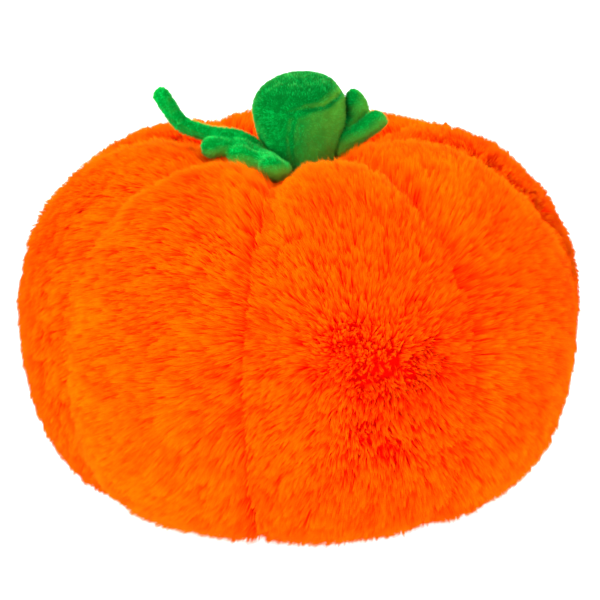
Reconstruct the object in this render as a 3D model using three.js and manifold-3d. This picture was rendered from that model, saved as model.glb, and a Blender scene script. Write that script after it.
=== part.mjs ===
// A stuffed plush pumpkin. Eight long-pile gores are sewn edge to edge round a fibre filling,
// and a padded stem and two lightly filled leaves of short-pile plush sit in the dip on top.
// Millimetres, +Z up. The origin is the middle of the flat base.
import * as THREE from 'three';
import { mergeVertices } from 'three/addons/utils/BufferGeometryUtils.js';
import Module from 'manifold-3d';

const wasm = await Module();
wasm.setup();

// ---- driving dimensions ----
const GORES = 8;
const BODY_RADIUS = 190; // to the tips of the pile, at the crest of a lobe
const BODY_TOP = 238.3; // crest of a lobe
const CREST_RADIUS = 88.8; // how far out the crest of a lobe is
const CROWN_DIP = 18.1; // depth of the dip that the stem stands in
const WAIST = 126.3; // height of the widest place
const BASE_RADIUS = 96.9; // the body is flat inside this radius
const SHOULDER_POWER = 2.0; // superellipse powers above and below the widest place
const UNDER_POWER = 2.46;
const FIRST_SEAM = -10.2; // degrees round from the front (-Y) towards +X
const GROOVE_WAIST = 10.5; // depth of the valley at a seam
const GROOVE_TOP = 15.5;
const GROOVE_UNDER = 5.4;
const GROOVE_POWER = 4.2; // how late the side of a lobe turns into the seam
const GROOVE_POWER_CROWN = 1.8; // the lobes are rounder near the stem
const GROOVE_FADE = 57.5; // the valleys run out inside this radius
const BASE_FADE = 12; // and below this height
const PILE = 14; // backing plus pile, from the tips to the filling
// Where the filling bulges: degrees round, place along the crest, reach in both, and height.
const SWELLS = [[8, 1.05, 42, 0.32, 4.5], [66, 0.85, 30, 0.28, 7], [60, 0.5, 40, 0.2, 8],
  [105, 1, 35, 0.35, 3.5], [-88, 1.45, 40, 0.4, 2.5]];
// Where a leaf presses the pile: x, y, radius and depth.
const PRESSED = [[-19, -54, 25, 8], [-19, -77, 20, 6], [-46, -31, 27, 5]];
const SEAM_GAP = 0.4; // between one gore and the next
const FILLING_GAP = 2.4;
const AXIS_CLEAR = 1.5; // the points of the gores stop this far from the axis

const STEM_SEAT = 209.5; // flattened pile under the stem
const STEM_FOOT = STEM_SEAT + 0.5;
const STEM_RIM = 267.2; // seam between the side and the cap
const STEM_TOP = 279;
const RIM_GAP = 0.3;
const STEM_WALL = 2.4;
const STEM_GAP = 0.5; // round the filling of the stem
const STEM_LEAN = [1.2, -3.2]; // sideways offset at the foot, and its change by the rim
const STEM_TILT = [0.08, 0.12]; // slope of the rim along X and along Y
const STEM_OUTLINE = [[19, STEM_FOOT], [22.4, 226], [26.2, 241], [28.8, 252.5], [30.3, 261.5],
  [29.7, STEM_RIM - RIM_GAP / 2]];
const CAP_OUTLINE = [[29.6, STEM_RIM + RIM_GAP / 2], [28.7, 271], [24.6, 274.8], [15, 278], [0, STEM_TOP]];
const CAP_INSIDE = [[27.2, STEM_RIM + RIM_GAP / 2], [26.3, 268.6], [22.2, 272.4], [12.6, 275.6],
  [0, STEM_TOP - STEM_WALL]];
const SEAT_CLEAR = 2.4; // round the stem, in the pile

const CLOTH = 1.8; // thickness of the short-pile plush
const LEAF_SPLIT = 0.6; // gap between the two faces of a leaf
const LEAF_FILLING = CLOTH + 0.8; // the filling of a leaf lies this far inside its faces
const LEAF_STEP = 12; // distance between the guide points of a leaf
const LEAF_BAND = 16; // distance between its two guide curves
const DROOP_FROM = 20; // a finger sags beyond this distance across the leaf
const DROOP = 0.004;

// A leaf is sewn flat and then lies bent. Each finger is a chain of [along, across, rise,
// half width, half thickness] in the flat leaf. The guides say where its near and far lines lie
// in space, and beyond says which way it runs on past them, unless it runs straight on.
const LEFT_LEAF = {
  name: 'leaf_left',
  rear: [[-24, -13, 232.5], [-33.5, -11.5, 239], [-44.5, -10.5, 242.5], [-56.3, -10, 243.8],
    [-68.2, -9.6, 247], [-79, -9, 252.8], [-86.5, -9, 263.3], [-92.5, -9, 273]],
  front: [[-18.6, -29, 233.1], [-31.5, -27.5, 235], [-43, -26.5, 237.8], [-56, -26, 241.3],
    [-68, -25.5, 243], [-78, -25, 249], [-86, -25, 260], [-92, -25, 270]],
  beyond: [0.2, -0.98, 0],
  fingers: [
    [[3, 0, -1, 5.5, 4.4], [20, -1, -1.5, 7, 4.9], [36, -1, -1.5, 7, 5.1], [50, 0, 0, 4.8, 4.7],
      [66, 0, 0, 5.5, 5.5], [82, 0, 0, 5.5, 5.5]],
    [[10, 8, -2, 9.5, 3.8], [30, 8.5, -2.2, 8.5, 3.8]],
    [[25, 11, -2, 5, 4], [38, 17, -2.4, 7.2, 6.4]],
    [[18, 12, -1, 8, 4.4], [21, 22, -3, 7.6, 6.6]],
    [[9, 10, -1, 5.5, 4], [4, 24, 0, 7, 4.2], [4, 38, 1.2, 7, 6.4], [4.5, 48, 3, 8.8, 8.2]],
    [[22, 21, -3, 5.6, 5.6], [13, 28, -1.5, 5.2, 5.2], [6, 37, 0.5, 6, 5.6]],
  ],
};
const RIGHT_LEAF = {
  name: 'leaf_right',
  rear: [[22, -5, 232.5], [31.5, -6.5, 240], [42, -7, 246.5], [51.5, -6, 253.5]],
  front: [[22, 6, 233], [28.5, 7, 243.5], [34.5, 8, 254.5], [38.5, 8, 266]],
  fingers: [
    [[3, -1, 0, 6.5, 5], [14, -1, 0.5, 6.6, 5.6], [25, -0.5, 0.5, 5.8, 5.8], [36, -0.5, 0, 5, 5.8]],
    [[6, 13, 0, 7, 5.2], [15, 14, 0.5, 7.2, 6], [23.5, 15, -0.5, 6.4, 5], [31.5, 16, 1, 7.8, 8.4]],
    [[5, 5, -2.2, 7.5, 3.8], [10, 9, -2.2, 7.5, 3.8]],
    [[7, 16, 0, 7, 4.6], [10, 28, 0, 6.4, 5.4]],
  ],
};

const FUR = new THREE.MeshStandardMaterial({ color: 0xff6a00, roughness: 0.95, metalness: 0 });
const GREEN = new THREE.MeshStandardMaterial({ color: 0x00a03c, roughness: 0.9, metalness: 0 });
const FIBRE = new THREE.MeshStandardMaterial({ color: 0xf2f0ea, roughness: 1, metalness: 0 });

const part = new THREE.Group();
const RADIANS = Math.PI / 180;
const GORE_HALF = Math.PI / GORES;
const goreMiddle = (i) => FIRST_SEAM * RADIANS + (2 * i + 1) * GORE_HALF;

function add(name, geometry, material) {
  const mesh = new THREE.Mesh(geometry, material.clone());
  mesh.name = name;
  part.add(mesh);
}

// ---- solids from rings of points ----

// Joins rings of equally many points into one closed body. A ring of one point closes an end.
function skin(rings) {
  const positions = [];
  const starts = [];
  for (const ring of rings) {
    starts.push(positions.length / 3);
    for (const p of ring) positions.push(...p);
  }
  const faces = [];
  for (let i = 0; i + 1 < rings.length; i++) {
    const count = Math.max(rings[i].length, rings[i + 1].length);
    for (let j = 0; j < count; j++) {
      const a = starts[i] + (j % rings[i].length);
      const b = starts[i] + ((j + 1) % rings[i].length);
      const c = starts[i + 1] + (j % rings[i + 1].length);
      const d = starts[i + 1] + ((j + 1) % rings[i + 1].length);
      if (a !== b) faces.push(a, b, d);
      if (c !== d) faces.push(a, d, c);
    }
  }
  return { positions, faces, starts };
}

function geometryOf({ positions, faces }) {
  const geometry = new THREE.BufferGeometry();
  geometry.setAttribute('position', new THREE.Float32BufferAttribute(positions, 3));
  geometry.setIndex(faces);
  geometry.computeVertexNormals();
  return geometry;
}

function solidOf(geometry) {
  const bare = geometry.clone();
  bare.deleteAttribute('normal');
  bare.deleteAttribute('uv');
  const merged = mergeVertices(bare, 1e-4);
  const vertProperties = merged.attributes.position.array;
  const triVerts = new Uint32Array(merged.index.array);
  return new wasm.Manifold(new wasm.Mesh({ numProp: 3, vertProperties, triVerts }));
}

function geometryFrom(solid) {
  const mesh = solid.getMesh();
  return geometryOf({ positions: Array.from(mesh.vertProperties), faces: Array.from(mesh.triVerts) });
}

// ---- body ----

// Radius and height on the crest of a lobe. 0..1 crosses the dip, 1..2 the shoulder,
// 2..3 the underside and 3..4 the flat base.
function crest(s) {
  const quarter = (Math.PI / 2) * (s % 1);
  if (s < 1) {
    const rise = 0.5 - 0.5 * Math.cos(Math.PI * s);
    return [CREST_RADIUS * s, BODY_TOP - CROWN_DIP * (1 - rise)];
  }
  if (s < 2) {
    const out = Math.sin(quarter) ** (2 / SHOULDER_POWER);
    const up = Math.cos(quarter) ** (2 / SHOULDER_POWER);
    return [CREST_RADIUS + (BODY_RADIUS - CREST_RADIUS) * out, WAIST + (BODY_TOP - WAIST) * up];
  }
  if (s < 3) {
    const out = Math.cos(quarter) ** (2 / UNDER_POWER);
    const down = Math.sin(quarter) ** (2 / UNDER_POWER);
    return [BASE_RADIUS + (BODY_RADIUS - BASE_RADIUS) * out, WAIST * (1 - down)];
  }
  return [BASE_RADIUS * (4 - s), 0];
}

// Outward direction in the upright plane of the crest.
function outward(s) {
  const step = 1e-3;
  const [r0, z0] = crest(s - step);
  const [r1, z1] = crest(s + step);
  const length = Math.hypot(r1 - r0, z1 - z0);
  return [(z0 - z1) / length, (r1 - r0) / length];
}

// Depth of the valley at a seam beside the crest point.
function groove(r, z) {
  const above = THREE.MathUtils.clamp((z - WAIST) / (BODY_TOP - WAIST), 0, 1);
  const below = THREE.MathUtils.clamp((WAIST - z) / WAIST, 0, 1);
  const deeper = (GROOVE_TOP - GROOVE_WAIST) * above ** 2;
  const shallower = (GROOVE_UNDER - GROOVE_WAIST) * below ** 1.5;
  return (GROOVE_WAIST + deeper + shallower) * Math.min(r / GROOVE_FADE, 1) * Math.min(z / BASE_FADE, 1);
}

// Height of the bulges at a place of the crest and an angle round.
function swell(s, angle) {
  let height = 0;
  for (const [azimuth, place, reach, spread, most] of SWELLS) {
    const turn = THREE.MathUtils.euclideanModulo(angle / RADIANS - azimuth + 180, 360) - 180;
    height += most * Math.exp(-((turn / reach) ** 2) - ((s - place) / spread) ** 2);
  }
  return height;
}

// A point of the body, inset below the tips of the pile. u runs from -1 to 1 across the gore
// whose middle is given.
function bodyPoint(s, u, middle, inset) {
  const [r, z] = crest(s);
  const [nr, nz] = outward(s);
  const round = z > WAIST ? Math.min(r / CREST_RADIUS, 1) : 1;
  const power = THREE.MathUtils.lerp(GROOVE_POWER_CROWN, GROOVE_POWER, round);
  const valley = groove(r, z) * Math.abs(u) ** power;
  const depth = inset + valley - swell(s, middle + u * GORE_HALF);
  return [Math.max(r - depth * nr, AXIS_CLEAR), z - depth * nz];
}

function stemRadius(z) {
  for (let i = 1; i < STEM_OUTLINE.length; i++) {
    const [r0, z0] = STEM_OUTLINE[i - 1];
    const [r1, z1] = STEM_OUTLINE[i];
    if (z <= z1) return THREE.MathUtils.mapLinear(Math.max(z, z0), z0, z1, r0, r1);
  }
  return STEM_OUTLINE.at(-1)[0];
}

// The tips of the pile, but pressed flat under the stem.
function outerPoint(s, u, middle) {
  return s < SEAT_EDGE ? [crest(s)[0], STEM_SEAT] : bodyPoint(s, u, middle, 0);
}

// Turns a point of a gore about the axis. The edges stay flat, half a seam gap inside the seam plane.
function place([r, z], u, middle) {
  const edge = GORE_HALF - Math.asin(SEAM_GAP / 2 / r);
  const angle = middle + u * edge;
  return [r * Math.sin(angle), -r * Math.cos(angle), z];
}

const SEAT_EDGE = (stemRadius(STEM_FOOT) + SEAT_CLEAR) / CREST_RADIUS;
const LIP_EDGE = (stemRadius(BODY_TOP - CROWN_DIP) + SEAT_CLEAR) / CREST_RADIUS;
const STATIONS = [0.02, SEAT_EDGE - 1e-3, LIP_EDGE, 0.38, 0.48, 0.6, 0.78, 1, 1.2, 1.4, 1.6, 1.8, 2,
  2.15, 2.3, 2.45, 2.6, 2.75, 2.88, 2.96, 3, 3.3, 3.98];
const OUTER_ACROSS = [1, 0.88, 0.68, 0.4, 0, -0.4, -0.68, -0.88, -1];
const INNER_ACROSS = [1, 0.6, 0, -0.6, -1];

// The pile gives way where a leaf lies on it.
function pressed([x, y, z]) {
  if (z < WAIST) return [x, y, z];
  const dents = PRESSED.map(([px, py, radius, depth]) => {
    const away = Math.hypot(x - px, y - py) / radius;
    return depth * (1 - away ** 2);
  });
  return [x, y, z - Math.max(0, ...dents)];
}

function gore(middle) {
  const rings = STATIONS.map((s) => [
    ...OUTER_ACROSS.map((u) => pressed(place(outerPoint(s, u, middle), u, middle))),
    ...INNER_ACROSS.toReversed().map((u) => place(bodyPoint(s, u, middle, PILE), u, middle)),
  ]);
  const body = skin(rings);
  body.faces.push(...endFaces(body.starts[0], false));
  body.faces.push(...endFaces(body.starts[rings.length - 1], true));
  return geometryOf(body);
}

// Closes the end ring of a gore: each inner edge faces two outer ones.
function endFaces(start, flip) {
  const outer = OUTER_ACROSS.length;
  const last = start + outer + INNER_ACROSS.length - 1;
  const faces = [];
  for (let k = 0; k + 1 < INNER_ACROSS.length; k++) {
    const [a, b, c] = [start + 2 * k, start + 2 * k + 1, start + 2 * k + 2];
    const [d, e] = [last - k, last - k - 1];
    faces.push([a, d, b], [b, d, e], [b, e, c]);
  }
  return faces.flatMap((f) => (flip ? f.toReversed() : f));
}

for (let i = 0; i < GORES; i++) add(`fur_panel_${i + 1}`, gore(goreMiddle(i)), FUR);

function filling() {
  const inset = PILE + FILLING_GAP;
  const across = INNER_ACROSS.slice(0, -1);
  const rings = STATIONS.map((s) => {
    const ring = [];
    for (let i = GORES - 1; i >= 0; i--) {
      const middle = goreMiddle(i);
      for (const u of across) {
        const [r, z] = bodyPoint(s, u, middle, inset);
        const angle = middle + u * GORE_HALF;
        ring.push([r * Math.sin(angle), -r * Math.cos(angle), z]);
      }
    }
    return ring;
  });
  const top = bodyPoint(STATIONS[0], 0, 0, inset)[1];
  return geometryOf(skin([[[0, 0, top]], ...rings, [[0, 0, inset]]]));
}
add('body_filling', filling(), FIBRE);

// ---- stem ----

// Leans the stem and tips its rim.
function leaned(geometry) {
  const p = geometry.attributes.position;
  for (let i = 0; i < p.count; i++) {
    const up = (p.getZ(i) - STEM_FOOT) / (STEM_RIM - STEM_FOOT);
    const tilt = STEM_TILT[0] * p.getX(i) + STEM_TILT[1] * p.getY(i);
    p.setZ(i, p.getZ(i) + tilt * Math.max(up, 0) ** 2);
    p.setX(i, p.getX(i) + STEM_LEAN[0] + STEM_LEAN[1] * up);
  }
  geometry.computeVertexNormals();
  return geometry;
}

const STEM_SIDES = 24;
function turned(outline, grow = 0) {
  const points = outline.map(([r, z]) => new THREE.Vector2(r === 0 ? 0 : r + grow, z));
  const lathe = new THREE.LatheGeometry(points, STEM_SIDES).rotateX(Math.PI / 2);
  lathe.deleteAttribute('normal');
  lathe.deleteAttribute('uv');
  return leaned(mergeVertices(lathe, 1e-4));
}

const inward = (outline, by) => outline.map(([r, z]) => [r && r - by, z]);
const sideRing = [...STEM_OUTLINE, ...inward(STEM_OUTLINE, STEM_WALL).toReversed(), STEM_OUTLINE[0]];
add('stem_side', turned(sideRing), GREEN);
add('stem_cap', turned([...CAP_INSIDE.toReversed(), ...CAP_OUTLINE]), GREEN);
const fillingOutline = [
  [0, STEM_FOOT + STEM_GAP],
  [STEM_OUTLINE[0][0] - STEM_WALL - STEM_GAP, STEM_FOOT + STEM_GAP],
  ...inward(STEM_OUTLINE, STEM_WALL + STEM_GAP).slice(1),
  ...inward(CAP_INSIDE, STEM_GAP).slice(1).map(([r, z]) => [r, z - STEM_GAP]),
];
add('stem_filling', turned(fillingOutline), FIBRE);

// ---- leaves ----

const FINGER_SIDES = 8;
const SHEET_STEP = 0.5; // for the slope of a draped leaf
const CAP_STEPS = [0.8, 0];

function smoothLine(points) {
  return new THREE.CatmullRomCurve3(points.map((p) => new THREE.Vector3(...p)), false, 'catmullrom');
}

// One finger of the flat leaf: an oval section along a smooth line, round at both ends.
function finger(chain, thinner) {
  const line = smoothLine(chain.map((point) => point.slice(0, 3)));
  const count = 2 * (chain.length - 1) + 1;
  const sections = [];
  for (let i = 0; i < count; i++) {
    const t = i / (count - 1);
    const at = t * (chain.length - 1);
    const k = Math.min(Math.floor(at), chain.length - 2);
    const size = [3, 4].map((n) => THREE.MathUtils.lerp(chain[k][n], chain[k + 1][n], at - k) - thinner);
    sections.push({ p: line.getPoint(t), along: line.getTangent(t), size });
  }
  const rings = sections.map((s) => oval(s, 0, 1));
  const [first, last] = [sections[0], sections.at(-1)];
  for (const scale of CAP_STEPS) {
    const reach = Math.sqrt(1 - scale * scale);
    rings.unshift(oval(first, -reach, scale));
    rings.push(oval(last, reach, scale));
  }
  return solidOf(geometryOf(skin(rings)));
}

// A ring round a line, reach half widths further on and scaled down.
function oval({ p, along, size: [width, depth] }, reach, scale) {
  const centre = p.clone().addScaledVector(along, reach * width);
  if (scale === 0) return [centre.toArray()];
  const ring = [];
  for (let i = 0; i < FINGER_SIDES; i++) {
    const a = (2 * Math.PI * (i + 0.5)) / FINGER_SIDES;
    const side = Math.cos(a) * width * scale;
    const up = Math.sin(a) * depth * scale;
    ring.push([centre.x - along.y * side, centre.y + along.x * side, centre.z + up]);
  }
  return ring;
}

function flatLeaf(fingers, thinner) {
  return fingers.map((chain) => finger(chain, thinner)).reduce((all, one) => all.add(one));
}

const LEAF_REACH = 400;
function halfSpace(side) {
  const box = new THREE.BoxGeometry(LEAF_REACH, LEAF_REACH, LEAF_REACH);
  box.translate(0, 0, (side * (LEAF_REACH + LEAF_SPLIT)) / 2);
  return solidOf(box);
}

// Lays a flat leaf along its two guide curves.
function draped(solid, leaf) {
  const rear = smoothLine(leaf.rear);
  const front = smoothLine(leaf.front);
  const beyond = new THREE.Vector3(...(leaf.beyond ?? [0, 0, 0]));
  const reach = LEAF_STEP * (leaf.rear.length - 1);
  const sheet = (u, v) => {
    const t = THREE.MathUtils.clamp(u / reach, 0, 1);
    const within = leaf.beyond ? Math.min(v, LEAF_BAND) : v;
    const p = rear.getPoint(t).lerp(front.getPoint(t), within / LEAF_BAND);
    p.addScaledVector(beyond, v - within);
    p.addScaledVector(rear.getTangent(t), u - t * reach);
    p.z -= DROOP * Math.max(v - DROOP_FROM, 0) ** 2;
    return p;
  };
  const geometry = geometryFrom(solid);
  const position = geometry.attributes.position;
  for (let i = 0; i < position.count; i++) {
    const [u, v, w] = [position.getX(i), position.getY(i), position.getZ(i)];
    const along = sheet(u + SHEET_STEP, v).sub(sheet(u - SHEET_STEP, v));
    const across = sheet(u, v + SHEET_STEP).sub(sheet(u, v - SHEET_STEP));
    const p = sheet(u, v).addScaledVector(along.cross(across).normalize(), w);
    position.setXYZ(i, p.x, p.y, p.z);
  }
  return geometry;
}

const stemRoom = solidOf(turned([[0, STEM_FOOT], ...STEM_OUTLINE, ...CAP_OUTLINE.slice(1)], STEM_GAP));

for (const leaf of [LEFT_LEAF, RIGHT_LEAF]) {
  const outside = flatLeaf(leaf.fingers, 0);
  const cover = outside.subtract(flatLeaf(leaf.fingers, CLOTH));
  const pieces = {
    upper: [cover.intersect(halfSpace(1)), GREEN],
    lower: [cover.intersect(halfSpace(-1)), GREEN],
    filling: [flatLeaf(leaf.fingers, LEAF_FILLING), FIBRE],
  };
  for (const [piece, [solid, material]] of Object.entries(pieces)) {
    const body = solidOf(draped(solid, leaf)).subtract(stemRoom);
    add(`${leaf.name}_${piece}`, geometryFrom(body), material);
  }
}

export default part;
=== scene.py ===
"""A stuffed plush pumpkin: eight long-pile gores, a padded stem and two small padded leaves.

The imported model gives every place. Lengths are in millimetres up to the point where a mesh is made.
"""
import math

import bpy
import numpy as np
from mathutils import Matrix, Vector
from mathutils.bvhtree import BVHTree


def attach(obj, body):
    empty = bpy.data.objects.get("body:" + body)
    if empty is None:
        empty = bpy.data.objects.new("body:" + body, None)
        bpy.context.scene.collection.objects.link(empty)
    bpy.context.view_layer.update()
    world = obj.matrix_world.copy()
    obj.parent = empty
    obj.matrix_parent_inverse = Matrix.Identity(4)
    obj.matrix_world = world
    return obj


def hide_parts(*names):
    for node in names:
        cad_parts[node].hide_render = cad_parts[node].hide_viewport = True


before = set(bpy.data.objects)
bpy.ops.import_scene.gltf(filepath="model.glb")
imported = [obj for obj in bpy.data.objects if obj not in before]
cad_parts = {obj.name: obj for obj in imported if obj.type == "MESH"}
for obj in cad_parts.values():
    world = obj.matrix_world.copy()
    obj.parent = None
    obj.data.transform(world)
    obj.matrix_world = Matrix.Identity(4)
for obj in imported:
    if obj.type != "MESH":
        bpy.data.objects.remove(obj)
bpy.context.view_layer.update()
SCALE = 0.001  # metres in a millimetre
TINY = 1e-9

# ---- dimensions repeated from the part's source ----
GORES = 8
BODY_RADIUS = 190
BODY_TOP = 238.3
CREST_RADIUS = 88.8
CROWN_DIP = 18.1
WAIST = 126.3
BASE_RADIUS = 96.9
SHOULDER_POWER = 2
UNDER_POWER = 2.46
FIRST_SEAM = math.radians(-10.2)
GROOVE_WAIST = 10.5
GROOVE_TOP = 15.5
GROOVE_UNDER = 5.4
GROOVE_POWER = 4.2
CROWN_POWER = 1.8
GROOVE_FADE = 57.5
BASE_FADE = 12
PILE = 14
# where a leaf presses the pile: x, y, radius and depth
PRESSED = [(-19, -54, 25, 8), (-19, -77, 20, 6), (-46, -31, 27, 5)]
GORE_HALF = math.pi / GORES
STEM_FOOT = 210
STEM_RIM = 267.2
STEM_TOP = 279
STEM_LEAN = (1.2, -3.2)
STEM_TILT = (0.08, 0.12)
STEM_OUTLINE = [(19, STEM_FOOT), (22.4, 226), (26.2, 241), (28.8, 252.5), (30.3, 261.5), (29.7, STEM_RIM)]
CAP_OUTLINE = [(28.7, 271), (24.6, 274.8), (15, 278), (0, STEM_TOP)]
# where the stuffing bulges: azimuth in degrees, station, reach in both, and height
SWELLS = [(8, 1.05, 42, 0.32, 4.5), (66, 0.85, 30, 0.28, 7), (60, 0.5, 40, 0.2, 8),
          (105, 1, 35, 0.35, 3.5), (-88, 1.45, 40, 0.4, 2.5)]

# ---- camera ----
CAMERA_ELEVATION = math.radians(17.29)
CAMERA_DISTANCE = 1500
CAMERA_TARGET = (-0.71, 0.0, 127.08)
CAMERA_FOCAL = 2207.5  # in pixels of a picture 600 wide
PICTURE = 600
SENSOR = 36


def make_camera():
    data = bpy.data.cameras.new("camera")
    data.sensor_width = SENSOR
    data.lens = CAMERA_FOCAL / PICTURE * SENSOR
    data.clip_start, data.clip_end = 0.05, 50.0
    camera = new_object("camera", data)
    back = Vector((0, -math.cos(CAMERA_ELEVATION), math.sin(CAMERA_ELEVATION)))
    camera.location = (Vector(CAMERA_TARGET) + CAMERA_DISTANCE * back) * SCALE
    camera.rotation_euler = (-back).to_track_quat("-Z", "Y").to_euler()
    bpy.context.scene.camera = camera


# ---- numbers that look random but are the same each run ----
# A salt is a label that keeps one set of draws apart from the others.
SALT_STEP = 7919
MIX_ADD = np.uint64(0x9E3779B97F4A7C15)  # the splitmix64 mixer's own numbers
MIX_STEPS = [(np.uint64(30), np.uint64(0xBF58476D1CE4E5B9)), (np.uint64(27), np.uint64(0x94D049BB133111EB))]
MIX_LAST, SPARE_BITS = np.uint64(31), np.uint64(11)
DRAWS = 2.0 ** 53


def scatter(salt, *keys):
    """Numbers in 0..1 that depend only on whole-number keys."""
    mixed = np.full(np.broadcast(*keys).shape, salt * SALT_STEP + 1, np.uint64)
    with np.errstate(over="ignore"):
        for key in keys:
            mixed = (mixed ^ np.asarray(key, np.int64).astype(np.uint64)) + MIX_ADD
            for shift, factor in MIX_STEPS:
                mixed = (mixed ^ (mixed >> shift)) * factor
            mixed = mixed ^ (mixed >> MIX_LAST)
    return (mixed >> SPARE_BITS).astype(float) / DRAWS


def noise(points, size, salt):
    """Smooth noise in -1..1 whose features are about size across."""
    scaled = points / size
    cell = np.floor(scaled).astype(np.int64)
    part = scaled - cell
    part = part * part * (3 - 2 * part)
    total = np.zeros(len(points))
    for corner in np.ndindex(2, 2, 2):
        total += np.where(corner, part, 1 - part).prod(1) * scatter(salt, *(cell + corner).T)
    return 2 * total - 1


def waves(points, table, salt=0):
    """Several noises added up: how much of each, its feature size and its salt."""
    return sum(amount * noise(points, size, own_salt + salt) for amount, size, own_salt in table)


def lengths(vectors):
    return np.linalg.norm(vectors, axis=-1)


def unit(vectors):
    return vectors / np.maximum(lengths(vectors), TINY)[..., None]


def smooth(x):
    """A soft step from 0 at 0 to 1 at 1."""
    x = np.clip(x, 0, 1)
    return x * x * (3 - 2 * x)


def bell(distance, width):
    return np.exp(-(distance / width) ** 2)


# ---- the body's surface ----
STEP_OUTWARD, STEP_ALONG, STEP_ACROSS = 1e-3, 2e-3, 1e-2  # stations and half widths for slopes
CORE_RADIUS = 1.5  # no surface comes nearer to the body's axis


def crest(s):
    """Radius and height on the crest of a lobe: 0..1 dip, 1..2 shoulder, 2..3 underside, 3..4 base."""
    s = np.asarray(s, float)
    quarter = 0.5 * math.pi * np.mod(s, 1)
    sin, cos = np.sin(quarter), np.cos(quarter)
    rise = 0.5 - 0.5 * np.cos(math.pi * np.clip(s, 0, 1))
    shoulder, under = 2 / SHOULDER_POWER, 2 / UNDER_POWER
    parts = [s < 1, s < 2, s < 3]
    radius = [CREST_RADIUS * s, CREST_RADIUS + (BODY_RADIUS - CREST_RADIUS) * sin ** shoulder,
              BASE_RADIUS + (BODY_RADIUS - BASE_RADIUS) * cos ** under]
    height = [BODY_TOP - CROWN_DIP * (1 - rise), WAIST + (BODY_TOP - WAIST) * cos ** shoulder,
              WAIST * (1 - sin ** under)]
    return np.select(parts, radius, BASE_RADIUS * (4 - s)), np.select(parts, height)


def outward(s):
    """The outward direction of the crest, as radius and height."""
    r0, z0 = crest(s - STEP_OUTWARD)
    r1, z1 = crest(s + STEP_OUTWARD)
    length = np.hypot(r1 - r0, z1 - z0)
    return (z0 - z1) / length, (r1 - r0) / length


def groove(r, z):
    """How deep the valley of a seam lies under the crest."""
    above = np.clip((z - WAIST) / (BODY_TOP - WAIST), 0, 1)
    below = np.clip((WAIST - z) / WAIST, 0, 1)
    depth = GROOVE_WAIST + (GROOVE_TOP - GROOVE_WAIST) * above ** 2 + (GROOVE_UNDER - GROOVE_WAIST) * below ** 1.5
    return depth * np.minimum(r / GROOVE_FADE, 1) * np.minimum(z / BASE_FADE, 1)


def turned(degrees):
    """The same direction from -180 to 180."""
    return np.mod(degrees + 180, 360) - 180


def swell(s, angle):
    """How far the stuffing bulges."""
    turns = np.degrees(angle)
    return sum(height * bell(turned(turns - azimuth), reach) * bell(s - station, spread)
               for azimuth, station, reach, spread, height in SWELLS)


def body_points(middle, s, u, inset):
    """Points of a gore, inset below the tips of its pile.

    u runs from -1 to 1 across the gore, and beyond that over the next one.
    """
    r, z = crest(s)
    nr, nz = outward(s)
    near_top = np.where(z > WAIST, np.minimum(r / CREST_RADIUS, 1), 1)
    power = CROWN_POWER + (GROOVE_POWER - CROWN_POWER) * near_top
    off = 1 - np.abs(1 - np.abs(u))
    closing = np.interp(z, *SEAM_CLOSING)
    valley = off ** power - closing * off ** (power / closing)
    depth = inset + groove(r, z) * valley - swell(s, middle + u * GORE_HALF)
    radius = np.maximum(r - depth * nr, CORE_RADIUS)
    angle = middle + u * GORE_HALF
    points = np.stack([radius * np.sin(angle), -radius * np.cos(angle), z - depth * nz], -1)
    dent = 0.0
    for x, y, reach, deep in PRESSED:
        beyond = ((points[..., 0] - x) ** 2 + (points[..., 1] - y) ** 2) / reach ** 2
        dent = np.maximum(dent, deep * np.clip(1 - beyond, 0, 1))
    points[..., 2] -= np.where(z > WAIST, dent, 0)
    return points


def body_slope(middle, s, u, inset, ds, du):
    return body_points(middle, s + ds, u + du, inset) - body_points(middle, s - ds, u - du, inset)


def body_normals(*place):
    return unit(np.cross(body_slope(*place, STEP_ALONG, 0), body_slope(*place, 0, STEP_ACROSS)))


# ---- long pile ----
STRANDS = 95000  # in each gore
GOLDEN, GORE_SHIFT = 0.6180339887, 0.31  # how the strands are dealt out across a gore
ROOT_JITTER = 1.2
LAST_ROOT = 0.995  # where the outermost roots stand, in half widths
ROOT_INSET = 7.6
SKIN_INSET = 7
STRAND_WIDTH, LEAST_WIDTH, WIDTH_SPREAD = 0.78, 0.65, 0.7  # the last two are shares of the first
STRAND_TURN = 2  # how far the blades turn about their own lines, in radians
NORMAL_LIFT = 0.3  # how far a blade's shading follows its line at the tip
LEAST_RADIUS = 5
# how far the pile closes the valley at a seam, by height
SEAM_CLOSING = ((0, 50, 95, 170, 215), (0.12, 0.2, 0.42, 0.42, 0.2))
OVERLAP = 0.11  # how far the pile reaches over the next gore, in half widths
EVEN_REACH, BIG_REACH, SMALL_REACH = 0.1, 1.1, 0.8  # by chance, by tuft
DENSE_FROM, DENSE_TO = 0.25, 2.93  # stations between which the pile is full
BASE_DENSITY = 0.25

# big and small tufts: spacing, how far they draw their strands in, how unevenly they lean
CLUMP_BIG, CLUMP_SMALL = 7.5, 2.4
BIG_PULL, SMALL_PULL = 0.2, 0.85
BIG_LEAN, SMALL_LEAN, OWN_LEAN = 3, 2.2, 2.4
CLUMP_KEY = 4096  # more than the tufts in any row
CLUMP_EDGE = 1.02  # tufts whose middles lie further across than this belong to the next gore
FAR = 1e8

# whorls that the pile lies away from: azimuth, height, strength, how upright it is in them
WHORLS = [(17.7, 138, 1, 1), (122, 150, 0.9, 0.5), (-132, 140, 0.9, 0.5)]
WHORL_CORE = 20
LEAN = 8
LEAN_FULL = 62  # how far from a whorl the pile lies fully over
LEAST_FLOW = 0.25
LEAN_WAVES = [(3.2, 42, 11), (1.8, 13, 15)]
SAG = 2.2
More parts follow.
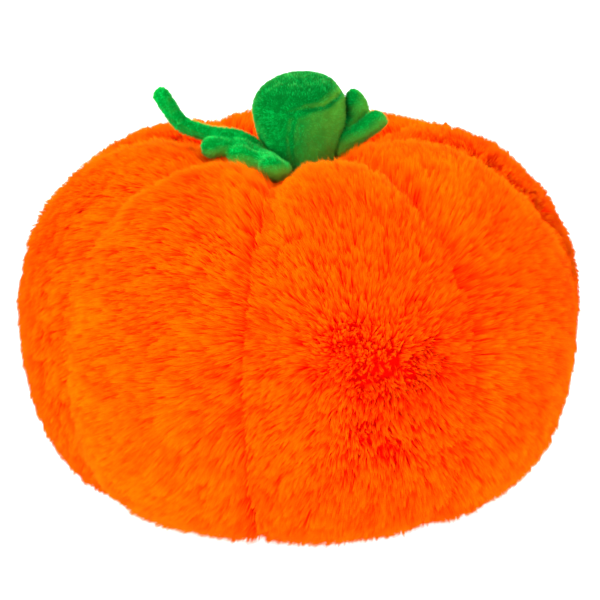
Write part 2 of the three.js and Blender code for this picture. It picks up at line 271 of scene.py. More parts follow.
# a combed place: azimuth, height, radius; how far the tips move down and towards +azimuth
COMBED, COMB_PUSH = (17.7, 138, 45), (-4, -2.7)
FLAT_FROM, FLAT_WIDTH = 2.85, 0.15  # stations where the pile is pressed flat under the body
FLAT_LEAN, FLAT_DEPTH = 0.6, 6

# where the pile parts: azimuth, height, half width, half height, how much is missing
PARTINGS = [(17.7, 136, 42, 21, 0.62), (9, 160, 22, 18, 0.5), (12.6, 97, 30, 22, 0.5),
            (20, 88, 68, 36, 0.49), (41.2, 159.9, 19, 15, 0.25),
            (-16.4, 205.4, 24, 20, 0.45), (-9.8, 180.3, 18, 16, 0.45)]
PARTING_EDGE, PARTED_DEPTH = 1.5, 3.5
PARTED_TIPS = 0.55  # how much brighter the tufts between the gaps are
PARTED_UPRIGHT = 1.5  # how much the pile stands up where it is parted
LEAST_LEAN = 0.1
KEEP_CLUMP, KEEP_OWN, KEEP_INNER = 0.62, 0.12, 0.26  # what decides which strands stay
INNER_EDGE = 0.75
OPEN_TOP, OPEN_LOW = 0.25, 0.85  # how much of the pile is missing right at a seam
OPEN_EVEN, OPEN_WAVES, OPEN_WIDTH = 0.7, [(1, 11, 75)], 3.2
SEAM_LOW_FROM, SEAM_LOW_FADE = 75, 40  # heights over which the lower value takes over

# how deep the tips lie
OWN_DEPTH, BIG_DEPTH, SMALL_DEPTH, SMALL_POWER, PROUD = 1, 2.2, 3.2, 1.5, 2.6
STRAYS, STRAY_REACH = 0.06, 2.6  # share of the strands that stand out, and how far
TALL, TALL_REACH = 0.16, 1.4  # the same for small tufts
SWAY, SWAYS = 1.2, [(1, 19, 71), (0.6, 8, 72)]
SEAM_TUFTS, TUFTS_WIDTH, TUFTS_EVEN = 3, 7, 0.35  # how proud tufts stand beside a seam
TUFTS_WAVES = [(1.5, 7, 74)]
TIP_FLOOR, TIP_FLOOR_SPREAD = 0.3, 0.6

# how light the strands are
TONE = 1.12
DEEP_PAINTED_SHADE, TONE_OWN, EDGE_PAINTED_SHADE = 0.19, 0.25, 0.35  # darker in low tufts as painted shade deep in the pile, by chance, and round a tuft as painted shade between tufts
TONE_WAVES = [(0.22, 23, 73)]
# painted shade in the valleys of the seams: how dark, its width and its waves
SEAM_PAINTED_SHADE, SEAM_SHADE_WIDTH, SEAM_SHADE_WAVES = 0.22, 6.0, [(1.6, 9, 76)]
# painted light and shade in patches: azimuth, height, reach and how much
PAINTED_LIGHT_PATCHES = [(11, 222, 42, -0.25), (53, 193, 50, -0.1), (52, 75, 50, -0.1),
           (-70, 232, 45, 0.35), (-30, 35, 50, 0.18), (100, 225, 50, -0.1),
           (18, 115, 65, 0.17), (60, 125, 60, -0.12)]
SHADE_SPECKS = (0.02, 0.12, 0.95)  # dark tufts, painted shade for the gaps in the pile: share towards -X and +X, and how dark they are
SHADE_SPECKS_FADE = 80
# painted highlight on the pile beside the crown's seams, where the crests catch the light: how light, distance
# from the seam, width and heights
CREST_PAINTED_HIGHLIGHT = (0.45, 12, 8, (185, 215))

# where strands may meet the stem or a leaf: height and radius
COVERS_FROM, COVERS_REACH = 212, 104
COVER_GAP, LOOK_PAST, LEAST_STRAND = 0.8, 1, 1

TABLE = np.linspace(0.02, 3.98, 3961)  # stations along the crest


def running(steps):
    return np.concatenate([[0], np.cumsum(steps)])


def arc_table():
    """Arc length at each station of the table, and the share of the strands before it."""
    r, z = crest(TABLE)
    arc = running(np.hypot(np.diff(r), np.diff(z)))
    dense = np.select([TABLE < DENSE_FROM, TABLE > DENSE_TO], [0, BASE_DENSITY], 1.0)
    area = running((r * dense)[1:] * np.diff(arc))
    return arc, area / area[-1]


ARC, SHARE = arc_table()


def surface_place(azimuth, height):
    """The point on the crest's profile at an azimuth in degrees and a height."""
    s = np.linspace(1, 3, 2001)
    r, z = crest(s)
    k = np.argmin(np.abs(z - height))
    angle = math.radians(azimuth)
    return np.array([r[k] * math.sin(angle), -r[k] * math.cos(angle), z[k]])


def nearness(points, azimuth, height, reach):
    return bell(lengths(points - surface_place(azimuth, height)), reach)


def clumps(row_place, u, half, spacing, salt, number):
    """The nearest tuft of each strand: its key and its offset down and across."""
    row = np.floor(row_place / spacing).astype(np.int64)
    best = np.full(len(u), 10 * FAR)
    key = np.zeros(len(u), np.int64)
    offset = np.zeros((len(u), 2))
    for line in (row - 1, row, row + 1):
        line_radius = np.interp((line + 0.5) * spacing, ARC, crest(TABLE)[0])
        width = np.maximum(2 * line_radius * GORE_HALF, spacing)
        count = np.maximum(np.round(width / spacing), 1)
        column = np.floor((u + 1) / 2 * count).astype(np.int64)
        for cell in (column - 1, column, column + 1):
            down = (line + scatter(salt, line, cell, number)) * spacing - row_place
            centre = (cell + scatter(salt + 1, line, cell, number)) / count * 2 - 1
            across = (centre - u) * half
            distance = down ** 2 + across ** 2
            distance = np.where(np.abs(centre) > CLUMP_EDGE, FAR, distance)
            nearer = distance < best
            best = np.where(nearer, distance, best)
            key = np.where(nearer, line * CLUMP_KEY + cell, key)
            offset[nearer] = np.stack([down, across], -1)[nearer]
    return key, offset


def lean_field(points, down, side):
    """How far the tips lie over, in millimetres down and across."""
    total, weight, calm = 0, 0, 1
    for *place, strength, upright in WHORLS:
        away = points - surface_place(*place)
        distance = lengths(away)
        share = strength / (distance + WHORL_CORE) ** 2
        total = total + unit(away) * share[:, None]
        weight = weight + share
        calm = np.minimum(calm, 1 - upright * (1 - smooth(distance / LEAN_FULL)))
    total /= weight[:, None]
    flow = np.stack([np.sum(total * down, 1), np.sum(total * side, 1)], -1)
    flow *= (LEAN * calm / np.maximum(lengths(flow), LEAST_FLOW))[:, None]
    flow[:, 0] += SAG
    flow += nearness(points, *COMBED)[:, None] * COMB_PUSH
    for axis in (0, 1):
        flow[:, axis] += waves(points, LEAN_WAVES, axis)
    return flow


def painted_light_patches(points):
    """How much lighter the pile is painted in its patches of painted light and shade."""
    return sum(amount * nearness(points, *place) for *place, amount in PAINTED_LIGHT_PATCHES)


def missing(points, from_seam):
    """How much of the pile is parted away at each point, 0 to 1."""
    low = smooth((SEAM_LOW_FROM - points[:, 2]) / SEAM_LOW_FADE)
    gone = OPEN_TOP * (OPEN_EVEN + waves(points, OPEN_WAVES))
    gone = (gone + (OPEN_LOW - OPEN_TOP) * low) * bell(from_seam, OPEN_WIDTH)
    for *place, wide, tall, amount in PARTINGS:
        away = points - surface_place(*place)
        near = np.exp(-PARTING_EDGE * ((lengths(away[:, :2]) / wide) ** 2 + (away[:, 2] / tall) ** 2))
        gone = np.maximum(gone, amount * near)
    return gone


def stopped(root, tip, covers):
    """Strands end where they meet the stem or a leaf."""
    near = (tip[:, 2] > COVERS_FROM) & (lengths(tip[:, :2]) < COVERS_REACH)
    for k in np.nonzero(near)[0]:
        line = Vector(tip[k] - root[k])
        length = line.length
        line.normalize()
        for cover in covers:
            hit = cover.ray_cast(Vector(root[k]), line, length + LOOK_PAST)
            if hit[0] is not None:
                length = min(length, max(hit[3] - COVER_GAP, LEAST_STRAND))
        tip[k] = root[k] + np.array(line) * length
    return tip


def strand_tone(root, own, deep, edge, from_seam, gone, dark):
    """How light each strand is: its own tone, with painted shade deep in the pile, between tufts and near the
    seams, a painted highlight by the crown's seams, and painted light and shade in patches and dark specks.
    """
    # painted highlight along the crests by the crown's seams
    bright, place_of, width, (start, full) = CREST_PAINTED_HIGHLIGHT
    painted_highlight = bright * bell(from_seam - place_of, width) * smooth((root[:, 2] - start) / (full - start))
    # painted shade in the seam valleys
    seam = bell(from_seam, SEAM_SHADE_WIDTH) * (1 + waves(root, SEAM_SHADE_WAVES))
    tone = TONE - DEEP_PAINTED_SHADE * deep - TONE_OWN * (1 - own) - EDGE_PAINTED_SHADE * edge ** 2
    tone = tone + waves(root, TONE_WAVES) - SEAM_PAINTED_SHADE * seam
    return tone + painted_highlight + painted_light_patches(root) - dark + PARTED_TIPS * gone


def strands(number, middle, covers):
    """The root, tip, normal, own draw and tone of each strand of one gore."""
    def draw(salt, key):
        return scatter(salt, key, number)

    order = np.arange(STRANDS)
    share = (order + draw(1, order)) / STRANDS
    s = np.interp(share, SHARE, TABLE)
    u = 2 * np.mod(order * GOLDEN + GORE_SHIFT * number, 1) - 1
    u = u + (draw(2, order) - 0.5) * ROOT_JITTER / (crest(s)[0] * GORE_HALF)
    u = np.clip(u, -LAST_ROOT, LAST_ROOT)
    place = np.interp(s, TABLE, ARC)
    half = np.maximum(crest(s)[0], LEAST_RADIUS) * GORE_HALF
    root = body_points(middle, s, u, ROOT_INSET)
    normal = body_normals(middle, s, u, 0)
    angle = middle + u * GORE_HALF
    side = np.stack([np.cos(angle), np.sin(angle), np.zeros_like(angle)], -1)
    down = unit(np.cross(normal, side))
    down *= np.sign(np.sum(down * body_slope(middle, s, u, 0, STEP_ALONG, 0), 1))[:, None]

    from_seam = (1 - np.abs(u)) * half
    gone = missing(root, from_seam)
    lean = lean_field(root, down, side) * np.maximum(1 - PARTED_UPRIGHT * gone, LEAST_LEAN)[:, None]
    big_key, big = clumps(place, u, half, CLUMP_BIG, 21, number)
    small_key, small = clumps(place, u, half, CLUMP_SMALL, 31, number)
    big_own, small_own, own = draw(41, big_key), draw(42, small_key), draw(43, order)
    lean += BIG_PULL * big + SMALL_PULL * small
    edge = lengths(small) / CLUMP_SMALL
    for spread, key, salt in ((BIG_LEAN, big_key, 44), (SMALL_LEAN, small_key, 46), (OWN_LEAN, order, 48)):
        for axis in (0, 1):
            lean[:, axis] += spread * (draw(salt + axis, key) - 0.5)
    flat = smooth((s - FLAT_FROM) / FLAT_WIDTH)
    lean *= (1 + FLAT_LEAN * flat)[:, None]

    tip_s = np.interp(place + lean[:, 0], ARC, TABLE)
    tip_u = u + lean[:, 1] / half
    reach = OVERLAP * (EVEN_REACH + BIG_REACH * big_own + SMALL_REACH * small_own)
    over = np.abs(tip_u) - 1 + reach
    tip_u = np.where(over > 0, np.sign(tip_u) * (1 - reach + 2 * reach * np.tanh(over / (2 * reach))), tip_u)

    deep = BIG_DEPTH * big_own ** 2 + SMALL_DEPTH * small_own ** SMALL_POWER
    inset = OWN_DEPTH * own + deep - PROUD + SWAY * waves(root, SWAYS) + FLAT_DEPTH * flat
    inset -= np.where(own < STRAYS, STRAY_REACH * draw(51, order), 0)
    inset -= np.where(small_own < TALL, TALL_REACH * draw(52, small_key), 0)
    inset += PARTED_DEPTH * gone * (0.5 + small_own)
    inset -= SEAM_TUFTS * bell(from_seam, TUFTS_WIDTH) * (waves(root, TUFTS_WAVES) + TUFTS_EVEN)
    tip = body_points(middle, tip_s, tip_u, inset)
    tip[:, 2] = np.maximum(tip[:, 2], TIP_FLOOR + TIP_FLOOR_SPREAD * own)

    # dark tufts as painted shade, more of them towards +X
    few, many, dark = SHADE_SPECKS
    dark = dark * (draw(53, small_key) < few + (many - few) * smooth(root[:, 0] / SHADE_SPECKS_FADE))
    tone = strand_tone(root, own, deep, edge, from_seam, gone, dark)
    inner = 1 - np.minimum(edge / INNER_EDGE, 1)
    keep = KEEP_CLUMP * draw(50, small_key) + KEEP_OWN * own + KEEP_INNER * inner > gone
    tip[keep] = stopped(root[keep], tip[keep], covers)
    return [values[keep] for values in (root, tip, normal, own, tone)]


def crossed(corners):
    """The direction that each triangle faces, as long as twice its area."""
    return np.cross(corners[:, 1] - corners[:, 0], corners[:, 2] - corners[:, 0])


def blades_at(root, tip, side, normal):
    """A triangle for each blade, from its root's two sides to its tip, that faces out."""
    blades = np.stack([root - side, root + side, tip], 1)
    wrong = np.sum(crossed(blades) * normal, 1) < 0
    blades[wrong] = blades[wrong][:, [1, 0, 2]]
    return blades.reshape(-1, 3)


BLADE_UP = np.array([0.0, 0.0, 1.0])  # 0 at the two corners of a blade's root, 1 at its tip


def blade_mesh(root, tip, normal, own):
    """One tapered blade for each strand: its corners and their shading normals."""
    line = unit(tip - root)
    across = unit(np.cross(line, normal))
    turn = (own - 0.5) * STRAND_TURN
    facing = np.cross(across, line)
    across = across * np.cos(turn)[:, None] + facing * np.sin(turn)[:, None]
    side = across * (0.5 * STRAND_WIDTH * (LEAST_WIDTH + WIDTH_SPREAD * own))[:, None]
    soft = unit(normal[:, None, :] + NORMAL_LIFT * line[:, None, :] * BLADE_UP[None, :, None])
    return blades_at(root, tip, side, normal), soft.reshape(-1, 3)


def split(a, b, c, d):
    """Two triangles for each four-sided face."""
    return np.concatenate([np.stack(corners, -1).reshape(-1, 3) for corners in ((a, b, c), (a, c, d))])


# ---- backing of the gores ----
SKIN_ALONG, SKIN_ACROSS, SKIN_EDGE, SKIN_TONE = 56, 22, 0.999, 0.5
SKIN_FLOOR, INNER_FLOOR = 1.2, 2.4


def skin_mesh(middle):
    """The closed backing of one gore."""
    s = np.linspace(TABLE[0], TABLE[-1], SKIN_ALONG)
    u = np.sin(np.linspace(-0.5, 0.5, SKIN_ACROSS) * math.pi) * SKIN_EDGE
    grid_s, grid_u = (grid.ravel() for grid in np.meshgrid(s, u, indexing="ij"))
    outer = body_points(middle, grid_s, grid_u, SKIN_INSET)
    inner = body_points(middle, grid_s, grid_u, PILE)
    normals = body_normals(middle, grid_s, grid_u, SKIN_INSET)
    outer[:, 2] = np.maximum(outer[:, 2], SKIN_FLOOR)
    inner[:, 2] = np.maximum(inner[:, 2], INNER_FLOOR)
    layer = SKIN_ALONG * SKIN_ACROSS
    index = np.arange(layer).reshape(SKIN_ALONG, SKIN_ACROSS)
    a, b, c, d = index[:-1, :-1], index[1:, :-1], index[1:, 1:], index[:-1, 1:]
    rim = np.concatenate([index[:, 0], index[-1, 1:], index[-2::-1, -1], index[0, -2:0:-1]])
    after = np.roll(rim, -1)
    faces = [split(a, b, c, d), split(c, b, a, d) + layer, split(after, rim, rim + layer, after + layer)]
    return np.concatenate([outer, inner]), np.concatenate(faces), np.concatenate([normals, -normals])


# ---- short pile ----
CLOTH_SCALE = 40  # the cloth solver works on pieces metres across
CLOTH_STEPS, CLOTH_QUALITY, CLOTH_STIFFNESS = 20, 5, 0.3
STEM_SIDES, STEM_SPACING, STEM_SHRINK, STEM_BOTTOM = 64, 2.8, 0.8, 10
STEM_PRESSURE, STEM_CAP = 12, 1.6  # cloth pressure, and the furthest that it moves a point
LEAF_PRESSURE, LEAF_CAP = 10, 1.2
OUTLINE_FINE, OUTLINE_ROUNDS = 400, 120
LEAF_VOXEL, RELAX_ROUNDS = 1.15, 3
LEAF_SEAM, LEAF_SEAM_WIDTH = 0.3, 0.8
LEAF_CRUMPLE = [(0.4, 9, 30), (0.2, 4, 31)]
LEAF_STEP = 12  # distance between the guide points of a leaf
LEAF_BAND = 16  # distance between its two guide curves
DROOP_FROM, DROOP = 20, 0.004
FINGER_SIDES, FINGER_STEPS = 16, 4
# Each finger is a chain of along, across, rise, half width and half thickness in the flat leaf.
LEAVES = {
    "left": {
        "beyond": (0.2, -0.98, 0.0),
        "rear": [(-24, -13, 232.5), (-33.5, -11.5, 239), (-44.5, -10.5, 242.5), (-56.3, -10, 243.8),
                 (-68.2, -9.6, 247), (-79, -9, 252.8), (-86.5, -9, 263.3), (-92.5, -9, 273)],
        "front": [(-18.6, -29, 233.1), (-31.5, -27.5, 235), (-43, -26.5, 237.8), (-56, -26, 241.3),
                  (-68, -25.5, 243), (-78, -25, 249), (-86, -25, 260), (-92, -25, 270)],
        "fingers": [
            [(3, 0, -1, 5.5, 4.4), (20, -1, -1.5, 7, 4.9), (36, -1, -1.5, 7, 5.1), (50, 0, 0, 4.8, 4.7),
             (66, 0, 0, 5.5, 5.5), (82, 0, 0, 5.5, 5.5)],
            [(10, 8, -2, 9.5, 3.8), (30, 8.5, -2.2, 8.5, 3.8)],
            [(25, 11, -2, 5, 4), (38, 17, -2.4, 7.2, 6.4)],
            [(18, 12, -1, 8, 4.4), (21, 22, -3, 7.6, 6.6)],
            [(9, 10, -1, 5.5, 4), (4, 24, 0, 7, 4.2), (4, 38, 1.2, 7, 6.4), (4.5, 48, 3, 8.8, 8.2)],
            [(22, 21, -3, 5.6, 5.6), (13, 28, -1.5, 5.2, 5.2), (6, 37, 0.5, 6, 5.6)],
        ],
        # the left leaf is painted lighter than the right one of the same cloth, painted light
        "bounce": (0.0, 0.25, 0.7), "bright": 1.7, "salt": 220,
    },
    "right": {
        "beyond": None,
        "rear": [(22, -5, 232.5), (31.5, -6.5, 240), (42, -7, 246.5), (51.5, -6, 253.5)],
        "front": [(22, 6, 233), (28.5, 7, 243.5), (34.5, 8, 254.5), (38.5, 8, 266)],
        "fingers": [
            [(3, -1, 0, 6.5, 5), (14, -1, 0.5, 6.6, 5.6), (25, -0.5, 0.5, 5.8, 5.8), (36, -0.5, 0, 5, 5.8)],
            [(6, 13, 0, 7, 5.2), (15, 14, 0.5, 7.2, 6), (23.5, 15, 0.5, 6.4, 6.2), (31.5, 16, 1.4, 7.8, 8.6)],
            [(5, 5, -2.2, 7.5, 3.8), (10, 9, -2.2, 7.5, 3.8)],
            [(7, 16, 0, 7, 4.6), (10, 28, 0, 6.4, 5.4)],
        ],
        "bounce": (0.25, 0.3, 0.5), "bright": 1.45, "salt": 240,
        # a painted shadow in the hollow below the round end of the second finger: along, across, reach and how
        # dark it is
        "painted_shadow": (26.0, 16.0, 6.5, 0.6),
    },
}
# the stem's rim: its seam, and the lips below and above it
RIM_DEPTH, RIM_WIDTH = 2.2, 0.85
LIP_BELOW, LIP_ABOVE, BELOW_PLACE, ABOVE_PLACE, LIP_WIDTH = 0.6, 0.3, 3.6, 4, 2.6
RIM_WAVES = [(0.9, 3, 40), (0.5, 7, 0)]  # how far, how many round the rim, and turned by
RIM_RISE = (2.4, (15, 55), (160, 40))  # how far it rises on the right, from where and until where
# how plain the seam is round the rim, by azimuth
RIM_SHARE = ((-180, -110, -60, -30, 0, 60, 120, 180), (0.8, 0.5, 0.25, 0.7, 1.0, 1.0, 0.9, 0.8))
GATHERS = (0.35, 9, 25, 4)  # how uneven the lip is, how many gathers, how unevenly they lie
CREASED_FROM, CREASED_FADE = 14, 8  # radii where the creases begin
STEM_SEAMS = [(-8.0, 0.8), (172.0, 0.8)]  # azimuth and depth
SEAM_BOW, SEAM_SHIFT = 56, 7  # how far a side seam bows, in degrees
SEAM_HALF, RIDGE, RIDGE_PLACE, RIDGE_WIDTH = 0.9, 0.45, 2.6, 1.6
STEM_LUMPS = [(0.55, 13, 60), (0.25, 5.5, 61)]

PILE_PER_AREA = 2.3  # tufts in a square millimetre
PILE_LENGTH, PILE_WIDTH, PILE_ROOT = 1.7, 0.5, 0.35
PILE_WAVES = [(0.6, 5, 3), (0.9, 1.8, 6)]
PILE_UPRIGHT, PILE_LEAN, PILE_JITTER, PILE_TURN, PILE_SOFT = 0.8, 0.9, 0.7, 0.4, 0.35
LEAST_BLADE, BLADE_SPREAD = 0.7, 0.6  # shares of the size
BLADE_TONES, COVER_TONES, TUFT_TONE = [(0.2, 2.4, 14)], [(0.16, 2.4, 14)], 0.9
COVER_HEIGHT = 0.1  # how high the cover under the pile counts, from root 0 to tip 1
# painted orange bounce light from the fur on the green, where it is low and where it faces +X, less where it
# faces up
BOUNCE_BELOW, BOUNCE_FADE, BOUNCE_TOP_LOSS = 246, 18, 0.35
STEM_BOUNCE = (0.0, 0.6, 0.2)  # all over, on the side that faces +X, and low down
# painted light: the stem is made lighter towards its foot, where the fur and leaves shade it
STEM_PAINTED_LIGHT = ((0.0, 0.4, 0.65, 0.9, 1.0), (1.9, 1.8, 1.5, 1.3, 1.0))  # from the stem's foot to its rim

# ---- filling ----
# node, voxel size, depth of the lumps and salt
FILLINGS = [("body_filling", 7.0, 3.0, 260), ("stem_filling", 3.5, 1.5, 262),
            ("leaf_left_filling", 1.6, 0.5, 264), ("leaf_right_filling", 1.6, 0.5, 266)]


# ---- meshes ----
def new_object(name, data):
    made = bpy.data.objects.new(name, data)
    bpy.context.collection.objects.link(made)
    return made


def set_points(mesh, points):
    mesh.vertices.foreach_set("co", (points * SCALE).astype(np.float32).ravel())
    mesh.update()


def new_mesh(name, points, triangles, normals=None):
    mesh = bpy.data.meshes.new(name)
    count = len(triangles)
    mesh.vertices.add(len(points))
    set_points(mesh, points)
    mesh.loops.add(count * 3)
    mesh.loops.foreach_set("vertex_index", triangles.astype(np.int32).ravel())
    mesh.polygons.add(count)
    mesh.polygons.foreach_set("loop_start", np.arange(0, count * 3, 3, dtype=np.int32))
    mesh.polygons.foreach_set("loop_total", np.full(count, 3, dtype=np.int32))
    mesh.polygons.foreach_set("use_smooth", np.ones(count, bool))
    mesh.update(calc_edges=True)
    if normals is not None:
        mesh.normals_split_custom_set_from_vertices(normals.astype(np.float32))
    return mesh


def faces_object(name, points, faces):
    mesh = bpy.data.meshes.new(name)
    mesh.from_pydata((points * SCALE).tolist(), [], faces)
    return new_object(name, mesh)


def put(name, mesh, nodes, slot):
    """A finished piece: it rides on the body, stands for its nodes and gets its material."""
    piece = new_object(name, mesh)
    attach(piece, "root")
    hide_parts(*nodes)
    mesh.materials.append(materials[slot])


def attribute(mesh, name, values):
    kind, field = ("FLOAT", "value") if values.ndim == 1 else ("FLOAT_VECTOR", "vector")
    mesh.attributes.new(name, kind, "POINT").data.foreach_set(field, values.astype(np.float32).ravel())


def pile_on(name, cover, blades, height):
    """A cover and its blades, with what their material reads: shading normals, heights and tones."""
    points, faces, normals, cover_tone = cover
    corners, soft, tone = blades
    all_points = np.concatenate([points, corners])
    all_faces = np.concatenate([faces, len(points) + np.arange(len(corners)).reshape(-1, 3)])
    all_normals = np.concatenate([normals, soft])
    mesh = new_mesh(name, all_points, all_faces, all_normals)
    attribute(mesh, "soft", all_normals)
    attribute(mesh, "height", np.concatenate([np.full(len(points), height), np.tile(BLADE_UP, len(tone))]))
    attribute(mesh, "tone", np.concatenate([cover_tone, np.repeat(tone, 3)]))
    return mesh, all_points, all_normals


def fur_panel(number, covers):
    middle = FIRST_SEAM + (2 * number - 1) * GORE_HALF
    root, tip, normal, own, tone = strands(number, middle, covers)
    skin = skin_mesh(middle)
    blades = blade_mesh(root, tip, normal, own)
    mesh, *_ = pile_on(f"fur_{number}", (*skin, np.full(len(skin[0]), SKIN_TONE)), (*blades, tone), 0.0)
    put(f"fur_{number}", mesh, [f"fur_panel_{number}"], "orange_long_pile")


def values_of(items, field, width, kind=np.float32):
    values = np.empty(len(items) * width, kind)
    items.foreach_get(field, values)
    return values.reshape(-1, width)


def points_of(mesh):
    """A mesh's points in millimetres."""
    return values_of(mesh.vertices, "co", 3).astype(float) / SCALE


def triangles_of(mesh):
    mesh.calc_loop_triangles()
    return values_of(mesh.loop_triangles, "vertices", 3, np.int32)


def normals_of(mesh):
    return values_of(mesh.vertices, "normal", 3).astype(float)


def tree_of(mesh):
    return BVHTree.FromPolygons(points_of(mesh).tolist(), triangles_of(mesh).tolist())


def settled(piece):
    """Applies the modifiers of a working object and returns its mesh."""
    graph = bpy.context.evaluated_depsgraph_get()
    mesh = bpy.data.meshes.new_from_object(piece.evaluated_get(graph))
    piece.modifiers.clear()
    piece.data = mesh
    return mesh


def remeshed(name, points, faces, voxel):
    """A working object with even faces, smoothed a little."""
    piece = new_object(f"{name}_form", new_mesh(f"{name}_form", points, faces))
    remesh = piece.modifiers.new("even", "REMESH")
    remesh.mode = "VOXEL"
    remesh.voxel_size = voxel * SCALE
    mesh = settled(piece)
    points, edges = points_of(mesh), values_of(mesh.edges, "vertices", 2, np.int32)
    count = np.zeros(len(points))
    np.add.at(count, edges.ravel(), 1)
    for _ in range(RELAX_ROUNDS):
        total = np.zeros_like(points)
        np.add.at(total, edges[:, 0], points[edges[:, 1]])
        np.add.at(total, edges[:, 1], points[edges[:, 0]])
        points += 0.5 * (total / count[:, None] - points)
    set_points(mesh, points)
    return piece


def simulated(piece, pressure, cap):
    """Blows a closed cover up with cloth pressure, no point moving further than cap."""
    before = points_of(piece.data)
    set_points(piece.data, before * CLOTH_SCALE)
    cloth = piece.modifiers.new("cloth", "CLOTH").settings
    cloth.use_pressure = True
    cloth.uniform_pressure_force = pressure
    cloth.effector_weights.gravity = 0
    cloth.quality = CLOTH_QUALITY
    cloth.bending_stiffness = CLOTH_STIFFNESS
    scene = bpy.context.scene
    for step in range(1, CLOTH_STEPS + 1):
        scene.frame_set(step)
    move = points_of(settled(piece)) / CLOTH_SCALE - before
    set_points(piece.data, before + unit(move) * np.minimum(lengths(move), cap)[:, None])
    scene.frame_set(1)


def inflated(piece, pressure, cap):
    simulated(piece, pressure, cap)
    finer = piece.modifiers.new("finer", "SUBSURF")
    finer.levels = finer.render_levels = 1
    settled(piece)


# ---- short-pile pieces ----
def blade_sizes(size, own):
    return (size * (LEAST_BLADE + BLADE_SPREAD * own))[:, None]


def pile_mesh(name, piece, salt, bounce, bright):
    """A cover with its short pile on it: upright tapered tufts that lie over in patches."""
    points, faces, normals = points_of(piece.data), triangles_of(piece.data), normals_of(piece.data)
    area = 0.5 * lengths(crossed(points[faces]))
    share = np.cumsum(area) / area.sum()
    count = int(area.sum() * PILE_PER_AREA)
    order = np.arange(count)
    face = np.searchsorted(share, (order + scatter(salt, order)) / count)
    corners = faces[np.minimum(face, len(faces) - 1)]
    a, b = scatter(salt + 1, order), scatter(salt + 2, order)
    folded = a + b > 1
    a, b = np.where(folded, 1 - a, a), np.where(folded, 1 - b, b)
    weights = np.stack([1 - a - b, a, b], 1)[..., None]
    root = (points[corners] * weights).sum(1)
    normal = unit((normals[corners] * weights).sum(1))
    lean = np.stack([waves(root, PILE_WAVES, salt + axis) for axis in range(3)], 1)
    own = scatter(salt + 9, order)
    jitter = np.stack([scatter(salt + 10 + axis, order) - 0.5 for axis in range(3)], 1)
    lean -= normal * np.sum(lean * normal, 1)[:, None]
    line = unit(normal * PILE_UPRIGHT + PILE_LEAN * lean + PILE_JITTER * jitter)
    tip = root + line * blade_sizes(PILE_LENGTH, own)
    root -= normal * PILE_ROOT
    side = unit(np.cross(line, normal) + PILE_TURN * jitter) * blade_sizes(0.5 * PILE_WIDTH, own)
    tone = 1 + waves(root, BLADE_TONES, salt) + TUFT_TONE * (scatter(salt + 15, order) - 0.5)
    cover_tone = 1 + waves(points, COVER_TONES, salt)
    soft = np.repeat(unit(normal + PILE_SOFT * lean), 3, 0)
    mesh, all_points, all_normals = pile_on(
        name, (points, faces, normals, cover_tone * bright),
        (blades_at(root, tip, side, normal), soft, tone * bright[corners[:, 0]]), COVER_HEIGHT)
    # painted orange bounce light from the fur: more low down and on the +X side, less on faces that look up
    low = smooth((BOUNCE_BELOW - all_points[:, 2]) / BOUNCE_FADE)
    painted_bounce = bounce[0] + bounce[1] * all_normals[:, 0] + bounce[2] * low - BOUNCE_TOP_LOSS * all_normals[:, 2]
    attribute(mesh, "painted_bounce", np.clip(painted_bounce, 0, 1))
    bpy.data.objects.remove(piece)
    return mesh


def along_outline(outline, spacing):
    """Evenly spaced points on a smooth line through the given ones."""
    def spaced(line, count):
        at = running(lengths(np.diff(line, axis=0)))
        places = np.linspace(0, at[-1], count or int(at[-1] / spacing) + 1)
        return np.stack([np.interp(places, at, line[:, k]) for k in (0, 1)], 1)

    line = spaced(np.array(outline), OUTLINE_FINE)
    for _ in range(OUTLINE_ROUNDS):
        line[1:-1] = (line[:-2] + 2 * line[1:-1] + line[2:]) / 4
    return spaced(line, None)


def up_stem(points):
    """How far up the stem points are: 0 at its foot, 1 at its rim."""
    return (points[:, 2] - STEM_FOOT) / (STEM_RIM - STEM_FOOT)


def leaned(points):
    """Leans the stem and tips its rim, as its solids are."""
    up = up_stem(points)
    tilt = STEM_TILT[0] * points[:, 0] + STEM_TILT[1] * points[:, 1]
    moved = points.copy()
    moved[:, 2] += tilt * np.maximum(up, 0) ** 2
    moved[:, 0] += STEM_LEAN[0] + STEM_LEAN[1] * up
    return moved


def stem():
    outline = [(0.0, STEM_FOOT), (STEM_BOTTOM, STEM_FOOT)] + [(r - STEM_SHRINK, z) for r, z in STEM_OUTLINE]
    outline += [(max(r - STEM_SHRINK, 0), z - 0.5 * STEM_SHRINK) for r, z in CAP_OUTLINE]
    profile = along_outline(outline, STEM_SPACING)
    rings = circles(profile[1:-1], STEM_SIDES)
    points = np.concatenate([[[0, 0, profile[0, 1]]]] + rings + [[[0, 0, profile[-1, 1]]]])
    last = len(points) - 1
    faces = []
    for k in range(STEM_SIDES):
        n = (k + 1) % STEM_SIDES
        faces.append((0, 1 + n, 1 + k))
        for ring in range(len(rings) - 1):
            base = 1 + ring * STEM_SIDES
            faces.append((base + k, base + n, base + STEM_SIDES + n, base + STEM_SIDES + k))
        faces.append((last, last - STEM_SIDES + k, last - STEM_SIDES + n))
    piece = faces_object("stem_form", leaned(points), faces)
    inflated(piece, STEM_PRESSURE, STEM_CAP)
    crease_stem(piece.data)
    tree = tree_of(piece.data)
    # painted light: lighter towards the foot, where the fur and leaves shade the stem
    bright = np.interp(up_stem(points_of(piece.data)), *STEM_PAINTED_LIGHT)
    mesh = pile_mesh("stem", piece, 200, STEM_BOUNCE, bright)
    put("stem", mesh, ["stem_side", "stem_cap"], "green_short_pile")
    return tree


